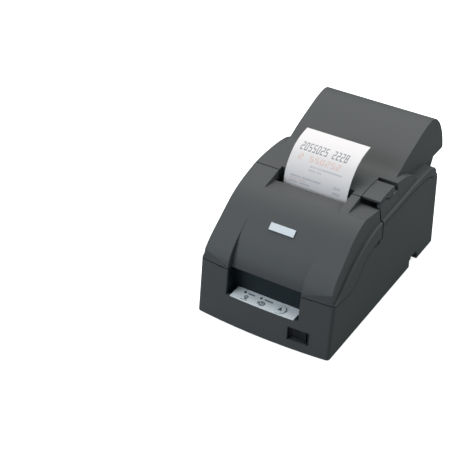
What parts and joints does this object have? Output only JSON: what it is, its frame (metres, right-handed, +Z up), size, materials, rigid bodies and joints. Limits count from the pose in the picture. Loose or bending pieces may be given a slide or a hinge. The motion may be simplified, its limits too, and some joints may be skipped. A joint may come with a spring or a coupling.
{
  "type": "receipt printer",
  "caption": "Desktop impact receipt printer with lift-up covers, opening lever, front button panel, paper exit and a tall rear hood over the journal take-up spool.",
  "frame": {"origin": "on the counter, under the middle of the printer's overall length and width", "axes": "+Z up, -Y towards the operator (front), +X to the operator's right"},
  "size_m": [0.16, 0.286, 0.162],
  "materials": {
    "case_grey": "fine moulded texture",
    "hood_grey": "fine moulded texture",
    "lever_grey": "fine moulded texture",
    "inner_black": "satin moulding",
    "gear_white": "satin moulding",
    "zinc_steel": "zinc plated sheet",
    "polished_steel": "ground",
    "rubber_black": "matt",
    "label_white": "printed film",
    "led_clear": "clear lens",
    "button_grey": "satin moulding",
    "rocker_black": "gloss moulding",
    "paper_white": "uncoated",
    "core_brown": "raw",
    "board_green": "solder mask",
    "ribbon_ink": "inked",
    "emblem_metal": "satin white",
    "motor_steel": "black"
  },
  "bodies": {
    "printer": {"lower_case": "case_grey", "chassis": "zinc_steel", "lock_catches": "polished_steel", "case_screws": "zinc_steel", "rubber_feet": "rubber_black", "panel_label": "label_white", "status_leds": "led_clear", "panel_board": "board_green", "switch_housing": "inner_black", "roll_bucket": "inner_black", "paper_web": "paper_white", "spool_brackets": "zinc_steel", "take_up_tray": "inner_black", "feed_motor": "motor_steel", "platen": "inner_black", "guide_shaft": "polished_steel", "timing_belt": "rubber_black", "carriage_motor": "motor_steel", "belt_tensioner": "zinc_steel", "ribbon_cassette": "inner_black", "ribbon_band": "ribbon_ink", "cutter_unit": "zinc_steel", "cutter_motor": "motor_steel", "control_board": "board_green", "board_parts": "inner_black", "interface_connector": "zinc_steel", "drawer_socket": "inner_black", "power_socket": "inner_black", "ground_screw": "zinc_steel"},
    "front_cover": {"front_cover": "hood_grey", "front_hinge_pins": "inner_black", "emblem_plate": "emblem_metal"},
    "roll_cover": {"roll_cover": "hood_grey", "roll_hinge_pins": "inner_black", "fixed_blade": "polished_steel", "receipt": "paper_white"},
    "cover_lever": {"cover_lever": "lever_grey", "lock_shaft": "polished_steel"},
    "pinch_roller": {"pinch_roller": "rubber_black", "pinch_shaft": "polished_steel"},
    "feed_button": {"feed_button": "button_grey"},
    "power_rocker": {"power_rocker": "rocker_black"},
    "print_carriage": {"print_carriage": "inner_black", "print_head": "motor_steel"},
    "motor_pulley": {"motor_pulley": "gear_white"},
    "idler_pulley": {"idler_pulley": "gear_white"},
    "feed_roller": {"feed_shaft": "polished_steel", "feed_rollers": "rubber_black", "roller_gear": "gear_white"},
    "idler_gear": {"idler_gear": "gear_white"},
    "motor_pinion": {"motor_pinion": "gear_white"},
    "moving_blade": {"moving_blade": "polished_steel"},
    "take_up_spool": {"take_up_spool": "inner_black", "spool_axle": "polished_steel"},
    "paper_roll": {"paper_roll": "paper_white", "roll_core": "core_brown"},
    "ribbon_knob": {"ribbon_knob": "inner_black"}
  },
  "joints": [
    {"name": "front_cover_hinge", "type": "hinge", "parent": "printer", "child": "front_cover", "pos_m": [0, -0.1297, 0.0682], "axis": [1, 0, 0], "range_deg": [0, 95]},
    {"name": "roll_cover_hinge", "type": "hinge", "parent": "printer", "child": "roll_cover", "pos_m": [0, 0.096, 0.1006], "axis": [-1, 0, 0], "range_deg": [0, 60]},
    {"name": "cover_lever_pivot", "type": "hinge", "parent": "roll_cover", "child": "cover_lever", "pos_m": [0, -0.003, 0.1272], "axis": [-1, 0, 0], "range_deg": [0, 25], "stiffness_Nm_per_rad": 0.05, "springref_deg": -11.46},
    {"name": "pinch_roller_spin", "type": "hinge", "parent": "roll_cover", "child": "pinch_roller", "pos_m": [0, -0.0255, 0.098], "axis": [1, 0, 0], "continuous": true},
    {"name": "feed_button_press", "type": "slide", "parent": "printer", "child": "feed_button", "axis": [0, 0, -1], "range_m": [0, 0.001], "stiffness_N_per_m": 250, "springref_m": -0.001},
    {"name": "power_rocker_tilt", "type": "hinge", "parent": "printer", "child": "power_rocker", "pos_m": [0.044, -0.1335, 0.01925], "axis": [0, 0, 1], "range_deg": [0, 12]},
    {"name": "carriage_slide", "type": "slide", "parent": "printer", "child": "print_carriage", "axis": [1, 0, 0], "range_m": [0, 0.064]},
    {"name": "motor_pulley_spin", "type": "hinge", "parent": "printer", "child": "motor_pulley", "pos_m": [0.048, -0.101, 0.076], "axis": [0, 0, -1], "continuous": true},
    {"name": "idler_pulley_spin", "type": "hinge", "parent": "printer", "child": "idler_pulley", "pos_m": [-0.048, -0.101, 0.076], "axis": [0, 0, -1], "continuous": true},
    {"name": "feed_roller_spin", "type": "hinge", "parent": "printer", "child": "feed_roller", "pos_m": [0, -0.0373, 0.098], "axis": [1, 0, 0], "continuous": true},
    {"name": "idler_gear_spin", "type": "hinge", "parent": "printer", "child": "idler_gear", "pos_m": [-0.066, -0.04988, 0.07434], "axis": [1, 0, 0], "continuous": true},
    {"name": "motor_pinion_spin", "type": "hinge", "parent": "printer", "child": "motor_pinion", "pos_m": [-0.066, -0.05408, 0.05274], "axis": [1, 0, 0], "continuous": true},
    {"name": "blade_stroke", "type": "slide", "parent": "printer", "child": "moving_blade", "axis": [0, 1, 0], "range_m": [0, 0.005]},
    {"name": "take_up_spool_spin", "type": "hinge", "parent": "printer", "child": "take_up_spool", "pos_m": [0, 0.105, 0.121], "axis": [1, 0, 0], "continuous": true},
    {"name": "paper_roll_spin", "type": "hinge", "parent": "printer", "child": "paper_roll", "pos_m": [0, 0.045, 0.0783], "axis": [1, 0, 0], "continuous": true},
    {"name": "ribbon_knob_spin", "type": "hinge", "parent": "printer", "child": "ribbon_knob", "pos_m": [-0.04, -0.073, 0.1], "axis": [0, 0, 1], "continuous": true}
  ],
  "couplings": [
    {"joint": "motor_pulley_spin", "follows": "carriage_slide", "rad_per_m": 200},
    {"joint": "idler_pulley_spin", "follows": "carriage_slide", "rad_per_m": 200},
    {"joint": "idler_gear_spin", "follows": "feed_roller_spin", "ratio": -0.55814},
    {"joint": "motor_pinion_spin", "follows": "feed_roller_spin", "ratio": 2},
    {"joint": "pinch_roller_spin", "follows": "feed_roller_spin", "ratio": -1.2}
  ]
}
